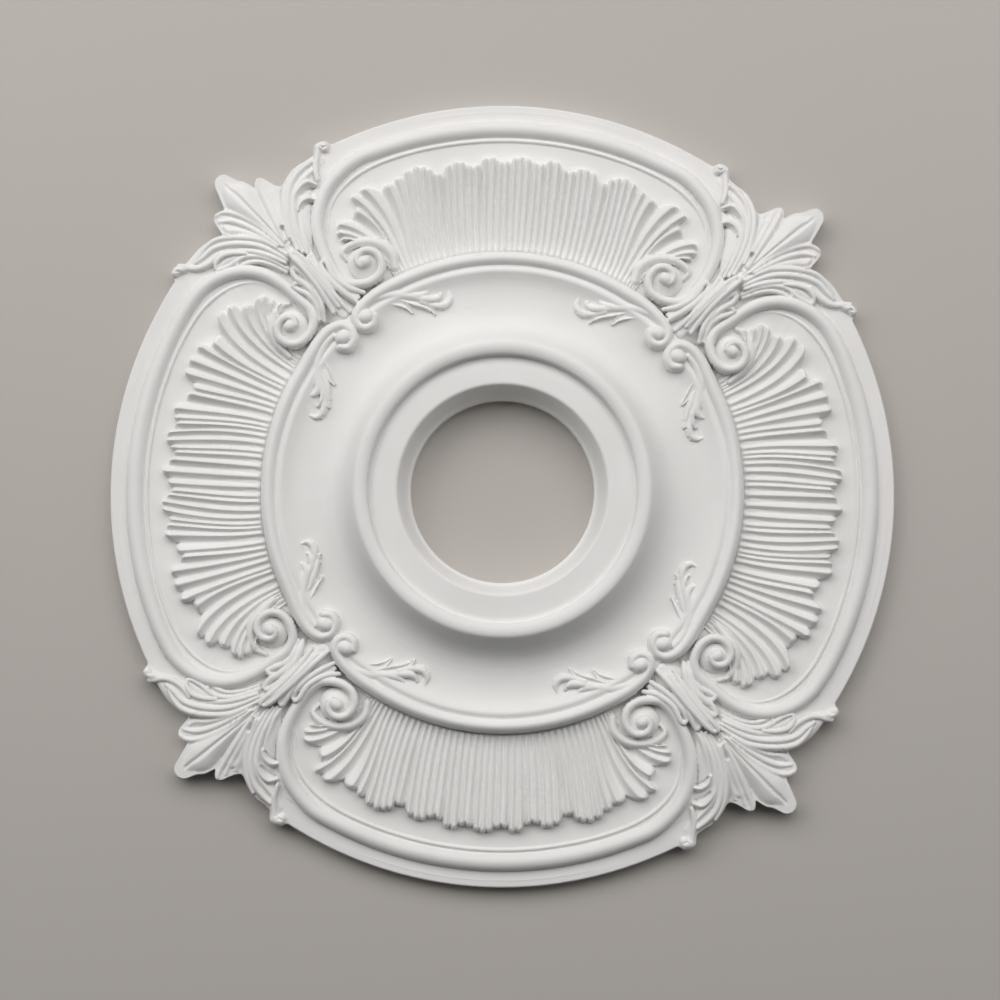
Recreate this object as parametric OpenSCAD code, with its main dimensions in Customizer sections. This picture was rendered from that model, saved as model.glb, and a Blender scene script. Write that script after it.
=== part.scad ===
// Ceiling rose: one casting with four shell panels, four leaf corners and a lamp hole.
// It lies on its flat back, face up, with the origin on the axis in the back plane.

/* [Overall] */
// Diameter across the four round lobes
across = 406; // [380:1:430]
// Height of the flat ground that the carving stands on
ground_h = 8.5; // [7.5:0.5:9.5]

/* [Hub] */
// Diameter of the lamp hole
hole_d = 95.2; // [84:0.2:100]
// Length of the straight throat of the lamp hole
throat_h = 8; // [5:0.5:12]
// Height of the flat ring that a canopy seats on
seat_h = 23.5; // [21:0.5:25]
// Height of the round bead about the hub
hub_h = 28.5; // [27:0.5:31]

/* [Mouldings] */
// Height of the main ring bead about the field
ring_h = 17; // [15.5:0.5:18.5]
// Height of the frame bead along the rim
frame_h = 12.5; // [12:0.5:13.5]
// Height of the outer band
band_h = 8.5; // [7.5:0.5:9.5]

/* [Shells] */
// Flutes in half a shell
flutes = 14; // [10:1:16]
// Depth of a flute
flute_depth = 2; // [1:0.1:2.4]
// Height of the shell's scalloped edge
shell_h = 15; // [13:0.5:16]

/* [Leaves] */
// Height of the leaf edge where the rose stops
leaf_edge_h = 7; // [6:0.5:8]
// Height of the husk at the heart of each corner
husk_h = 20; // [18:0.5:22]

/* [Hidden] */

plaster = "#efeeea";
round_fn = 180;
// The carving is drawn on a rose 402 across, and this brings it to size
u = across / 402;
outer_r = across / 2;
hole_r = hole_d / 2;
base_r = 196 * u;
// A lobe's rim ends midway between two rays of the corner's grid, never on one
rim_half_angle = 28.8;

// ---- the turned body: hub, cove, field, ring bead and ground ----

// Points of an arc about c, from angle a to angle b
function arc(c, r, a, b, n) = [for (i = [0 : n]) c + r * [cos(a + (b - a) * i / n), sin(a + (b - a) * i / n)]];

// The dish is lowest here, and rises towards the fillet inside the ring bead
dish_r = 97 * u;
dish_h = 10.6;
fillet_r = 113.2 * u;
fillet_rise = 4.2;
ring_r = 119.3 * u;
ring_half = 3.8;
crest_r = 72.3 * u;

// Height of the dished field at radius r
function field_z(r) = dish_h + fillet_rise * pow((r - dish_r) / (fillet_r - dish_r), 2.2);

hub_profile = concat(
    // lamp hole, flare and flat seat
    [[hole_r, 0], [hole_r, throat_h], [52.9 * u, seat_h - 0.7], [53.9 * u, seat_h], [63 * u, seat_h]],
    // the bead about the seat: a steep inner wall and a round crest
    [[66.6 * u, seat_h + 0.6], [67.4 * u, hub_h - 3.6], [68.2 * u, hub_h - 1.6], [70 * u, hub_h - 0.5]],
    [[crest_r, hub_h], [74.2 * u, hub_h - 0.4], [75.5 * u, hub_h - 1.6]],
    // the cove, as drops from the crest down to the dish
    [[77 * u, hub_h - 4.3], [79 * u, hub_h - 8.2], [81 * u, hub_h - 11.4], [83.4 * u, hub_h - 14]],
    [[86.4 * u, hub_h - 16.1], [90.5 * u, hub_h - 17.4]],
    [for (r = [dish_r : 4 * u : fillet_r - u]) [r, field_z(r)]],
    // the fillet and the ring bead
    [[fillet_r, dish_h + fillet_rise], [fillet_r + 2 * u, dish_h + fillet_rise - 0.7]],
    arc([ring_r, ring_h - ring_half], ring_half, 170, -15, 10),
    [[ring_r + 5.6 * u, ground_h + 0.6], [ring_r + 9 * u, ground_h], [base_r, ground_h], [base_r, 0]]
);

module turned_body() {
    rotate_extrude($fn = round_fn) polygon(hub_profile);
}

// ---- the rim of one lobe: fillet, frame bead, groove and outer band ----

rim_profile = concat(
    [[178 * u, 2], [178 * u, ground_h + 0.4], [181 * u, ground_h + 0.8], [181.6 * u, ground_h + 1.6]],
    [[182.8 * u, ground_h + 1.6], [183.4 * u, ground_h + 0.4]],
    arc([188.2 * u, frame_h - 4.3], 4.3, 170, 5, 8),
    [[193.4 * u, band_h - 1], [194.6 * u, band_h - 0.2], [197 * u, band_h]],
    [[outer_r - 1.4, band_h - 0.6], [outer_r - 0.3, band_h - 2], [outer_r, band_h - 3.5], [outer_r, 0]],
    [[190 * u, 0], [190 * u, 2]]
);

module lobe_rim() {
    rotate([0, 0, -rim_half_angle]) {
        rotate_extrude(angle = 2 * rim_half_angle, $fn = round_fn) polygon(rim_profile);
    }
}

// ---- grids: a closed solid from rows of top points ----

// A solid whose top is a grid of points, rows of equal length, and whose foot is flat at foot_z.
// The foot is a fan from its middle, and walls drop from the grid's edge.
module grid_solid(rows, foot_z) {
    nr = len(rows);
    nc = len(rows[0]);
    top = [for (row = rows) each row];
    rim = concat(
        [for (j = [0 : nc - 1]) j],
        [for (i = [1 : nr - 1]) i * nc + nc - 1],
        [for (j = [nc - 2 : -1 : 0]) (nr - 1) * nc + j],
        [for (i = [nr - 2 : -1 : 1]) i * nc]
    );
    nt = nr * nc;
    nb = len(rim);
    foot = [for (k = rim) [top[k].x, top[k].y, foot_z]];
    mid = rows[floor(nr / 2)][floor(nc / 2)];
    faces = concat(
        [for (i = [0 : nr - 2], j = [0 : nc - 2]) [i * nc + j, (i + 1) * nc + j + 1, (i + 1) * nc + j]],
        [for (i = [0 : nr - 2], j = [0 : nc - 2]) [i * nc + j, i * nc + j + 1, (i + 1) * nc + j + 1]],
        [for (k = [0 : nb - 1]) [rim[k], nt + k, nt + (k + 1) % nb]],
        [for (k = [0 : nb - 1]) [rim[k], nt + (k + 1) % nb, rim[(k + 1) % nb]]],
        [for (k = [0 : nb - 1]) [nt + k, nt + nb, nt + (k + 1) % nb]]
    );
    polyhedron(concat(top, foot, [[mid.x, mid.y, foot_z]]), faces);
}

// ---- the fluted shell of one panel ----

shell_half_angle = 27;
shell_rows = 4;

// Radius of the shell's edge at angle a off its middle: long in the middle, shorter to the
// sides, and scalloped
function shell_edge_r(a) = (173.5 - 11 * pow(a / shell_half_angle, 2) + 1.6 * abs(cos(a * 180 / 9))) * u;

// Height of the shell at a share t of its length, for a ridge (1) or a flute (0)
function shell_z(t, ridge) = ground_h + 1.4 + (shell_h - ground_h - 1.4) * pow(t, 1.6)
    - (1 - ridge) * flute_depth * (0.5 + 0.5 * t);

module shell() {
    stations = 4 * flutes;
    rows = [for (i = [0 : stations])
        let (a = shell_half_angle * (i / stations * 2 - 1), ridge = i % 2)
        let (r0 = 123 * u, r1 = shell_edge_r(a))
        concat(
            [for (k = [0 : shell_rows - 1])
                let (t = k / (shell_rows - 1), r = r0 + (r1 - r0) * t)
                [r * cos(a), r * sin(a), shell_z(t, ridge)]],
            [[(r1 + 1) * cos(a), (r1 + 1) * sin(a), ground_h - 1]]
        )];
    grid_solid([for (i = [stations : -1 : 0]) rows[i]], ground_h - 4);
}

// ---- the corner: scrolls, volutes and leaves as strokes ----

// A point on the smooth curve through the points P, at a share t of the way
function on_curve(P, t) = let (
    n = len(P) - 1,
    i = min(n - 1, floor(t * n)),
    f = t * n - i,
    a = P[max(0, i - 1)],
    b = P[i],
    c = P[i + 1],
    d = P[min(n, i + 2)])
    0.5 * (2 * b + (c - a) * f + (2 * a - 5 * b + 4 * c - d) * f * f + (3 * b - a - 3 * c + d) * f * f * f);

// A stroke: knobs [x, y, half width, height] along a curve, w and z given at start, middle and end
function stroke(P, w, z, n = 12) = [for (i = [0 : n]) let (t = i / n, p = on_curve(P, t) * u)
    [p.x, p.y, on_curve(w, t), on_curve(z, t)]];

// Height that one knob gives at the point q
function knob(q, s, low) = let (d = norm([q.x - s[0], q.y - s[1]]) / s[2])
    d < 1 ? low + (s[3] - low) * sqrt(1 - d * d) : 0;

// The frame bead of the panel on +Y, down its side and into its volute, and the one on +X
frame_y = [[84, 171], [92, 165], [99, 157], [103, 147], [104, 136], [102, 125], [98, 116], [92, 108], [85, 103.5],
    [78, 102.5], [71.5, 105.5], [68.5, 112], [71, 119], [77, 121], [82, 117]];
frame_x = [[171, 84], [165, 92.5], [157, 99.5], [147, 104], [136, 105], [126, 103], [117, 98.5], [109.5, 92],
    [105, 84.5], [104.5, 77], [108, 70.5], [114, 69], [119, 73], [118.5, 80]];
frame_w = [4.7, 3.8, 3.4, 2.6];
frame_z = [frame_h, frame_h + 0.8, frame_h + 2.2, frame_h + 3.6];

scrolls = concat(
    stroke(frame_y, frame_w, frame_z, 44),
    stroke(frame_x, frame_w, frame_z, 42),
    stroke([[76, 113.5], [78, 112.5]], [5, 5], [16.5, 16.5], 2),
    stroke([[112, 78], [113.5, 77]], [5, 5], [16.5, 16.5], 2),
    stroke([[57, 106], [67, 99], [75, 93], [80, 86.5], [79, 80], [73, 78.5]], [3.8, 3.6, 3.4], [17, 17, 17], 20),
    stroke([[106, 57], [100, 68], [95, 77], [88, 80.5], [81.5, 78.5], [79.5, 72]], [3.8, 3.6, 3.4], [17, 17, 17], 20),
    stroke([[73, 86], [74.5, 84.5]], [5.5, 5.5], [18.5, 18.5], 2),
    stroke([[85, 75], [85.5, 73.5]], [6, 6], [18.5, 18.5], 2)
);

// The husk on the diagonal: five hollow blades
husk = concat(
    stroke([[79, 96], [90, 101], [95, 106], [98.5, 111.5]], [2, 3, 2.4], [14, husk_h - 3, husk_h - 4]),
    stroke([[84, 89], [94, 99], [101, 108], [104.5, 114]], [2.5, 3.4, 2.4], [16, husk_h - 1, husk_h - 3]),
    stroke([[87, 86], [98, 98], [107, 108], [114, 115]], [3, 4.2, 3.4], [17, husk_h, husk_h - 1]),
    stroke([[91, 86], [101, 97], [108, 103], [114, 106.5]], [2.5, 3.4, 2.4], [16, husk_h - 1, husk_h - 3]),
    stroke([[97, 82], [101, 91], [106, 96], [112.5, 98]], [2, 3, 2.4], [14, husk_h - 3, husk_h - 4])
);

// The leaf fan behind the husk
leaves = concat(
    stroke([[116.5, 117], [131, 130.9], [144.9, 143.5], [152.7, 150.2]], [3, 5, 9.2, 5.2], [17, 17, 15.5, 12]),
    stroke([[117, 119], [124, 131], [130, 143], [134.5, 152]], [2, 3.6, 3.8], [16.5, 16, 12.5]),
    stroke([[114, 120], [120, 134], [124, 143], [128, 149]], [2, 3.4, 3], [16, 15, 12]),
    stroke([[108, 117], [114, 129], [117, 142], [117, 153], [112, 162], [106, 171]], [2, 4, 5, 5, 4, 3.4],
        [16, 15.5, 15, 14, 12, 11], 18),
    stroke([[113, 138], [110, 143], [106, 144.5]], [2.4, 2.6, 2], [14, 14, 13], 6),
    stroke([[115, 147], [111, 151.5], [106, 153.5]], [2.4, 2.8, 2], [14, 14, 13], 6),
    stroke([[119, 116], [131, 125.5], [143, 132], [153.5, 134]], [2, 4, 4], [16.5, 16, 12.5]),
    stroke([[118, 115], [131, 122], [142, 126.5], [150, 127.5]], [2, 3.4, 3], [16, 15, 12]),
    stroke([[117, 110], [130, 115.5], [142, 117.5], [153, 116], [162, 110], [171, 105.5]], [2, 4, 5, 5, 4, 3.4],
        [16, 15.5, 15, 14, 12, 11], 18),
    stroke([[120, 108], [131, 111.5], [138, 111], [142, 108.5]], [2, 2.6, 2.4], [13, 14, 13], 8),
    stroke([[139, 114], [146, 112], [150, 109], [152.5, 106]], [2, 2.6, 2.4], [14, 14, 13], 8),
    stroke([[103, 170], [104.5, 173.5]], [3.4, 3], [11, 11], 2),
    stroke([[172, 101.5], [175, 103.5]], [3.4, 3], [11, 11], 2)
);

corner_knobs = concat(scrolls, husk, leaves);

// The corner spans these angles off +X, from one lobe to the next, in rays that are evenly apart
corner_from = 27;
corner_to = 63;
corner_rays = 30;
// Between the leaves the casting's edge never falls inside this radius
neck_r = 195.5 * u;
// Within this many degrees of the corner's first and last ray its edge is just inside the lobe's circle
lobe_share = 2.6;
lobe_inset = u;

// How far out the knob s reaches along the direction d, or nothing where it lies off the ray
function knob_reach(d, s) = let (off = d.x * s[1] - d.y * s[0], half = s[2])
    abs(off) < half ? d.x * s[0] + d.y * s[1] + sqrt(half * half - off * off) : 0;

// Radius of the casting's edge at the angle a: the outermost leaf there, the neck, or the lobe
function edge_radius(a) = let (d = [cos(a), sin(a)])
    min(a - corner_from, corner_to - a) < lobe_share ? outer_r - lobe_inset
    : max(neck_r, max([for (s = leaves) knob_reach(d, s)]));

inner_r = 101 * u;
radius_steps = 21;
// The ground swells this much under the leaves, most at this radius and to nothing this far off it
swell_h = 1.5;
swell_r = 165 * u;
swell_reach = 30 * u;
// A knob's foot lies this far under the ground, so that its edge is steep where it shows
knob_foot = 2;

// Ground under the corner's carving: the panel's level, rising under the leaves
function corner_ground(r) = ground_h + swell_h * max(0, 1 - abs(r - swell_r) / swell_reach);

// The grid's point at a share t of the way out along the ray at the angle a
function corner_point(a, t) = let (
    r = inner_r + (edge_radius(a) - inner_r) * t,
    q = [r * cos(a), r * sin(a)],
    low = corner_ground(r),
    z = max([for (s = corner_knobs) knob(q, s, low - knob_foot)]))
    [q.x, q.y, t == 0 ? ground_h - knob_foot : t == 1 ? leaf_edge_h : max(low, z)];

module corner() {
    rows = [for (i = [corner_rays : -1 : 0])
        [for (j = [0 : radius_steps])
            corner_point(corner_from + (corner_to - corner_from) * i / corner_rays, j / radius_steps)]];
    grid_solid(rows, 0);
}

// ---- the sprigs that trail from the small volutes on to the field ----

// One blade: a three-sided tapering stroke through the points P
module blade(P, w, z, n = 7) {
    pts = [for (i = [0 : n]) on_curve(P, i / n) * u];
    dirs = [for (i = [0 : n]) pts[min(n, i + 1)] - pts[max(0, i - 1)]];
    side = [for (d = dirs) [-d.y, d.x] / norm(d)];
    foot = ground_h - 1.5;
    ring = [for (i = [0 : n]) let (t = i / n, hw = on_curve(w, t), p = pts[i], s = side[i])
        [[p.x + s.x * hw, p.y + s.y * hw, foot], [p.x - s.x * hw, p.y - s.y * hw, foot],
            [p.x - s.x * hw * 0.5, p.y - s.y * hw * 0.5, on_curve(z, t)],
            [p.x + s.x * hw * 0.5, p.y + s.y * hw * 0.5, on_curve(z, t)]]];
    all = [for (r = ring) each r];
    faces = concat(
        [for (i = [0 : n - 1], k = [0 : 3]) [4 * i + k, 4 * i + 4 + k, 4 * i + 4 + (k + 1) % 4]],
        [for (i = [0 : n - 1], k = [0 : 3]) [4 * i + k, 4 * i + 4 + (k + 1) % 4, 4 * i + (k + 1) % 4]],
        [[0, 1, 2], [0, 2, 3], [4 * n, 4 * n + 2, 4 * n + 1], [4 * n, 4 * n + 3, 4 * n + 2]]
    );
    polyhedron(all, faces);
}

module sprigs() {
    blade([[74, 92], [66, 96.5], [56, 97], [46, 95.5], [38, 93.5], [33, 97]], [1.5, 2.6, 2, 1.2], [15.5, 14.5, 13, 12]);
    blade([[93, 75], [97.5, 66], [98, 56], [95, 46], [92, 38], [97, 32]], [1.5, 2.6, 2, 1.2], [15.5, 14.5, 13, 12]);
}

module quadrant() {
    corner();
    sprigs();
}

module rose() {
    color(plaster) {
        union() {
            turned_body();
            for (a = [0 : 90 : 270]) {
                rotate([0, 0, a]) lobe_rim();
                rotate([0, 0, a]) shell();
            }
            quadrant();
            mirror([1, 0, 0]) quadrant();
            mirror([0, 1, 0]) {
                quadrant();
                mirror([1, 0, 0]) quadrant();
            }
        }
    }
}

rose();
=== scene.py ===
# %% [markdown]
# # A moulded ceiling rose
# This script models one white ceiling rose: a raised hub round a lamp hole, a dished field,
# four fluted shells in scroll frames and four sprays of leaves. The real rose is one casting
# from one carved master, so it is one closed mesh here too.

# %% Load the frame and read its size
import bpy
import numpy as np
from mathutils import Matrix, Vector


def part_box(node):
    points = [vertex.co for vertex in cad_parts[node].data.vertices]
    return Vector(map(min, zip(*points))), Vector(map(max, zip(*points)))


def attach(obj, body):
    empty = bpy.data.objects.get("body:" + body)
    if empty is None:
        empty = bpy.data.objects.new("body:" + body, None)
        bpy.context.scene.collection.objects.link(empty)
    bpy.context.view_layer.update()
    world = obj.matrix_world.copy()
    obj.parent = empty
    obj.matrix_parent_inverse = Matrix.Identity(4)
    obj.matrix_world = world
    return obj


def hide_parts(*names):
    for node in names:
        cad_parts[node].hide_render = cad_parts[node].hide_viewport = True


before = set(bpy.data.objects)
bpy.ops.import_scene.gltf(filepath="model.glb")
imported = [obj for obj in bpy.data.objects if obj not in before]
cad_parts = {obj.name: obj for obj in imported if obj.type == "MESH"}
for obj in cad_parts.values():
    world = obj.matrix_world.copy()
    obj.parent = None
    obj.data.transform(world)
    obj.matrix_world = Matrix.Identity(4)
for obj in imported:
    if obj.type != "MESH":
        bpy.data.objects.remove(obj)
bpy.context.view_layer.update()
LOW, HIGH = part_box("rose")
DRAWN_R = 200.8                                  # the drawing's radius across the lobes
UNIT = (HIGH.x - LOW.x) / 2 / DRAWN_R            # metres for one unit of the drawing
MM = 0.001
print("one drawing unit is", round(UNIT * 1000, 4), "mm")

# %% [markdown]
# ## Curves and strokes
# A carver thinks in strokes: a bead, a rib or a leaf is a line that the tool follows, with a
# width and a height that swell and taper on the way. The master could be sculpted by hand or
# built from swept tubes, but tubes leave gaps and doubled walls. Here each stroke raises a
# height field instead, so all of them melt into one skin, as they do in a mould.

# %% Curves
SPACING = 0.5                                     # between the samples of a path, in drawing units
FINE = 24                                         # samples to a span, before they are spaced evenly
CHUNK = 64                                        # samples of a path compared with the points at a time
SOFT = 0.35                                       # how far a crease is filled, in millimetres


def cubic(a, b, c, d, f):
    """The way from b to c at a share f: a cubic with slope (c - a) / 2 at b and (d - b) / 2 at c."""
    return 0.5 * (2 * b + (c - a) * f + (2 * a - 5 * b + 4 * c - d) * f**2 + (3 * b - a - 3 * c + d) * f**3)


def curve(points):
    """A smooth curve through the points, one cubic to a span: evenly spaced samples, and how far
    along the curve each of them is."""
    P = np.asarray(points, float)
    n = len(P) - 1
    t = np.linspace(0, n, n * FINE + 1)
    i = np.minimum(t.astype(int), n - 1)
    f = (t - i)[:, None]
    Q = cubic(P[np.maximum(i - 1, 0)], P[i], P[i + 1], P[np.minimum(i + 2, n)], f)
    along = np.r_[0, np.cumsum(np.hypot(*np.diff(Q, axis=0).T))]
    count = max(3, int(np.ceil(along[-1] / SPACING)) + 1)
    even = np.linspace(0, along[-1], count)
    return np.stack([np.interp(even, along, Q[:, k]) for k in range(2)], 1), even


def near(x, y, path):
    """For each point, its distance to the path (positive on the left) and its share of the way along.
    The nearest sample is found first, and the distance is measured square to the path there."""
    Q, along = path
    T = np.gradient(Q, axis=0)
    T /= np.linalg.norm(T, axis=1)[:, None]
    best = np.full(x.shape, np.inf)
    at = np.zeros(x.shape, int)
    for k in range(0, len(Q), CHUNK):
        q = Q[k:k + CHUNK]
        d2 = (x[:, None] - q[None, :, 0])**2 + (y[:, None] - q[None, :, 1])**2
        j = d2.argmin(1)
        v = d2[np.arange(len(x)), j]
        closer = v < best
        best[closer] = v[closer]
        at[closer] = k + j[closer]
    dx, dy, t = x - Q[at, 0], y - Q[at, 1], T[at]
    ahead = along[at] + dx * t[:, 0] + dy * t[:, 1]
    aside = t[:, 0] * dy - t[:, 1] * dx
    past = ahead - np.clip(ahead, 0, along[-1])
    return np.where(aside < 0, -1, 1) * np.hypot(aside, past), np.clip(ahead / along[-1], 0, 1)


def swell(values, t):
    """Values given at even shares of the way, read smoothly at t: the same cubic as curve()."""
    v = np.atleast_1d(np.asarray(values, float))
    if len(v) == 1:
        return np.full(np.shape(t), v[0])
    n = len(v) - 1
    i = np.minimum((t * n).astype(int), n - 1)
    f = t * n - i
    return cubic(v[np.maximum(i - 1, 0)], v[i], v[i + 1], v[np.minimum(i + 2, n)], f)


def join(a, b, soft=SOFT):
    """The higher of two heights, with the crease between them filled to a small radius."""
    return np.maximum(a, b) + np.maximum(soft - np.abs(a - b), 0)**2 / (4 * soft)


print("a path is sampled every", round(SPACING * UNIT * 1000, 2), "mm")

# %% Cross sections of a stroke, by the share q of its half width
SECTIONS = {
    "round": lambda q: np.sqrt(1 - q * q),
    "arch": lambda q: (1 - q * q)**0.75,
    "soft": lambda q: (1 - q * q)**1.5,
    "flat": lambda q: np.sqrt(1 - q**4),
    "spoon": lambda q: np.sqrt(1 - q**6) * (1 - 0.42 * np.maximum(1 - (q / 0.7)**2, 0)),
    "lance": lambda q: np.sqrt(1 - q**1.7) * (1 - 0.2 * np.exp(-(q / 0.12)**2)),
}

print("cross sections:", ", ".join(SECTIONS))

# %% The height field that strokes are laid on
OUTSIDE = -99.0                                   # how far inside a point is before a stroke covers it
OVERSHOOT = 1.15                                  # a smoothed width can pass its largest value by this
MARGIN = 3                                        # kept round a stroke when its points are picked
THINNEST = 0.05                                   # half width that a stroke never goes below
FOOT_DROP = 1.15                                  # how far a stroke's edge is below its top, in half widths


class Relief:
    """Heights over a set of points, with how far each point lies inside the cast outline."""

    def __init__(self, x, y):
        self.x, self.y = x, y
        self.h = np.zeros(x.shape)
        self.inside = np.full(x.shape, OUTSIDE)

    def close_to(self, Q, reach):
        """Which points lie in the box round the path Q, with a margin of reach."""
        low, high = Q.min(0) - reach, Q.max(0) + reach
        return np.flatnonzero((self.x > low[0]) & (self.x < high[0]) & (self.y > low[1]) & (self.y < high[1]))

    def stroke(self, points, width, height, section="round", foot=None, soft=SOFT):
        """Raise a stroke: at a share q = distance / half width, the height is
        foot + (height - foot) * section(q). Widths are drawing units, heights are millimetres."""
        path = curve(points)
        m = self.close_to(path[0], np.max(width) * OVERSHOOT + MARGIN)
        if not len(m):
            return
        d, t = near(self.x[m], self.y[m], path)
        w = np.maximum(swell(width, t), THINNEST)
        q = np.abs(d) / w
        top = swell(height, t)
        low = swell(foot, t) if foot is not None else top - FOOT_DROP * w
        h = low + (top - low) * SECTIONS[section](np.minimum(q, 1))
        self.h[m] = np.where(q < 1, join(self.h[m], h, soft), self.h[m])
        self.inside[m] = np.maximum(self.inside[m], (1 - q) * w)

    def cut(self, points, width, depth):
        """Press a groove: depth * (1 - q squared) to the power 1.5 is taken away."""
        path = curve(points)
        m = self.close_to(path[0], np.max(width) * OVERSHOOT)
        if not len(m):
            return
        d, t = near(self.x[m], self.y[m], path)
        q = np.minimum(np.abs(d) / np.maximum(swell(width, t), THINNEST), 1)
        self.h[m] -= swell(depth, t) * (1 - q * q)**1.5


def turn(r, *degrees):
    """Points on a circle of radius r about the rose's axis, at the given angles off +X."""
    a = np.radians(degrees)
    return [tuple(p) for p in np.stack([r * np.cos(a), r * np.sin(a)], 1)]


# %% [markdown]
# ## Hub and field
# A plasterer runs these rings with a template turned about a pin. The template's edge is the
# profile below, from the lamp hole outwards: flare, flat canopy seat, round hub bead, cove,
# dished field and a thin fillet. Turning a profile is the obvious way, and here it is read
# straight into the height field, so the field and the carving share one skin.

# %% The turned profile: radius and height in drawing units and millimetres
GROUND = 8.5                                      # height of the panels, in millimetres
HOLE_R = 47.1                                     # the lamp hole
TEMPLATE = np.array([
    (HOLE_R, 8.0), (52.7, 22.4), (53.2, 23.1), (53.9, 23.45), (54.9, 23.5), (60.0, 23.5), (63.0, 23.4),
    (65.8, 23.1), (66.9, 23.1), (67.5, 23.7), (67.8, 25.6), (68.3, 27.0), (69.0, 27.6), (69.9, 28.0),
    (71.0, 28.35), (72.3, 28.5), (73.2, 28.42), (74.0, 28.2), (74.7, 27.8), (75.5, 26.9), (76.8, 24.6),
    (77.8, 22.6), (79.1, 20.1), (81.1, 17.0), (82.6, 15.3), (84.4, 13.65), (86.2, 12.5), (88.2, 11.7),
    (91.3, 10.95), (95.3, 10.6), (98.0, 10.6), (101.8, 10.85), (104.3, 11.25), (106.2, 11.7),
    (108.4, 12.55), (110.2, 13.5), (111.4, 14.2), (112.4, 14.75), (113.2, 14.9), (114.2, 14.65),
    (115.4, 14.2), (118.0, 14.2), (119.6, 12.2), (121.4, 8.0), (122.6, GROUND - 1.1),
    (124.2, GROUND - 0.2), (126.4, GROUND + 0.4), (135.0, GROUND), (240.0, GROUND)])
print("the template has", len(TEMPLATE), "points and is", TEMPLATE[:, 1].max(), "mm high")


def turned(r):
    """Height of the template at radius r: a cubic through its points. Its slope at a point is the
    harmonic mean of the slopes on either side, or 0 at a peak, so it never overshoots."""
    R, Z = TEMPLATE.T
    slope = np.diff(Z) / np.diff(R)
    same = slope[1:] * slope[:-1] > 0
    m = np.zeros(len(R))
    m[1:-1] = np.where(same, 2 * slope[1:] * slope[:-1] / np.where(same, slope[1:] + slope[:-1], 1), 0)
    i = np.clip(np.searchsorted(R, r, "right") - 1, 0, len(R) - 2)
    w = R[i + 1] - R[i]
    f = (r - R[i]) / w
    f2, f3 = f * f, f**3
    return ((2 * f3 - 3 * f2 + 1) * Z[i] + (f3 - 2 * f2 + f) * w * m[i]
            + (3 * f2 - 2 * f3) * Z[i + 1] + (f3 - f2) * w * m[i + 1])


# %% [markdown]
# ## Rims and scroll frames
# Each lobe has an outer band, a groove and a fat frame bead. Past the lobe the bead turns in,
# runs down beside the leaves and rolls up into a volute with a ball at its eye. The bead is
# one stroke from lobe to eye, so its thickness can dwindle evenly as it winds.

# %% Paths of the beads
CREST_R = 187.8                                   # middle of the frame bead, on the lobes
FILLET_R = 181.6                                  # middle of the fillet inside it
RING_R = 119.3                                    # middle of the ring bead round the field
TURN_STEP = 30                                    # degrees between the points of a scroll


def scroll(centre, start, end, radii):
    """Points winding about a centre from one angle to another, with radii read smoothly."""
    n = int(abs(end - start) / TURN_STEP)
    t = np.linspace(0, 1, n + 1)
    a = np.radians(start + (end - start) * t)
    r = swell(radii, t)
    return [tuple(p) for p in np.stack([centre[0] + r * np.cos(a), centre[1] + r * np.sin(a)], 1)]


VOLUTE_Y, VOLUTE_X = (77.2, 113.0), (113.0, 77.6)
FRAME_Y = (turn(CREST_R, 94, 90, 86, 82, 78, 74, 70, 66)
           + [(84.5, 167.6), (91.8, 161.5), (97.8, 154), (101.6, 145.5), (103.2, 136), (102.2, 127),
              (98.8, 117.5)]
           + scroll(VOLUTE_Y, -20, -410, [16.4, 11.2, 9.6, 7.6, 5.8, 4.2, 2.6]))
FRAME_X = (turn(CREST_R, -4, 0, 4, 8, 12, 16, 20, 24)
           + [(167.3, 84.8), (162, 93), (154.5, 99.8), (145.5, 104), (136, 105.3), (127, 103.6),
              (118.5, 99.2), (111.3, 93.4)]
           + scroll(VOLUTE_X, 132, 522, [13.4, 10.2, 9.2, 7.6, 5.8, 4.2, 2.6]))
FILLET_Y = (turn(FILLET_R, 94, 90, 86, 82, 78, 74, 70)
            + [(73.5, 165.8), (83, 160), (90.5, 153), (95.8, 144.5), (97.6, 136), (97.2, 128)])
FILLET_X = (turn(FILLET_R, -4, 0, 4, 8, 12, 16, 20)
            + [(164.5, 76), (158.5, 85.5), (151, 93), (142, 98.2), (132.5, 99.8), (123.5, 97.4), (116, 92.8)])
RING_Y = (turn(RING_R, 94, 90, 86, 82, 78, 74, 70, 66, 62)
          + [(65, 100.4), (72, 95.4), (77.4, 89.8), (79.8, 84.6), (78.4, 80.4), (74.4, 79), (71, 81.2),
             (70.6, 85)])
RING_X = (turn(RING_R, -4, 0, 4, 8, 12, 16, 20, 24, 28)
          + [(101.2, 64.6), (97, 72), (92.4, 77.2), (87, 79.4), (82.2, 77.6), (80.4, 72.8), (82.6, 68.6),
             (86.4, 68.2)])
print("a frame bead has", len(FRAME_Y), "points and a ring bead", len(RING_Y))

# %% Rims of the lobes and ground of the corners
LOBE_HALF = 31.5                                  # half angle of a lobe, in degrees
BAND_R = 190.5                                    # the outer band starts here
NECK_R = 195                                      # the ground between two lobes ends here
BAND = np.array([(BAND_R, 8.4), (191.6, 7.2), (192.6, 6.6), (193.6, 6.9), (194.6, 7.8), (195.6, 8.4),
                 (197, 8.6), (198.6, 8.3), (199.6, 7.6), (200.4, 6.5), (DRAWN_R, 5.0)])
PANEL = np.array([(120, 0), (165, GROUND), (176, GROUND + 0.4), (181, GROUND + 0.9),
                  (184, GROUND + 1), (190, GROUND + 1), (191, 0)])
MOUND_R = 126                                     # the ground under the leaves starts to rise here
MOUND_RAMP = 12                                   # and takes this far to reach its height
MOUND_H = 2.4                                     # its height over the panels, in millimetres
MOUND_SPREAD = 13                                 # its spread either side of the diagonal, in degrees
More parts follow.
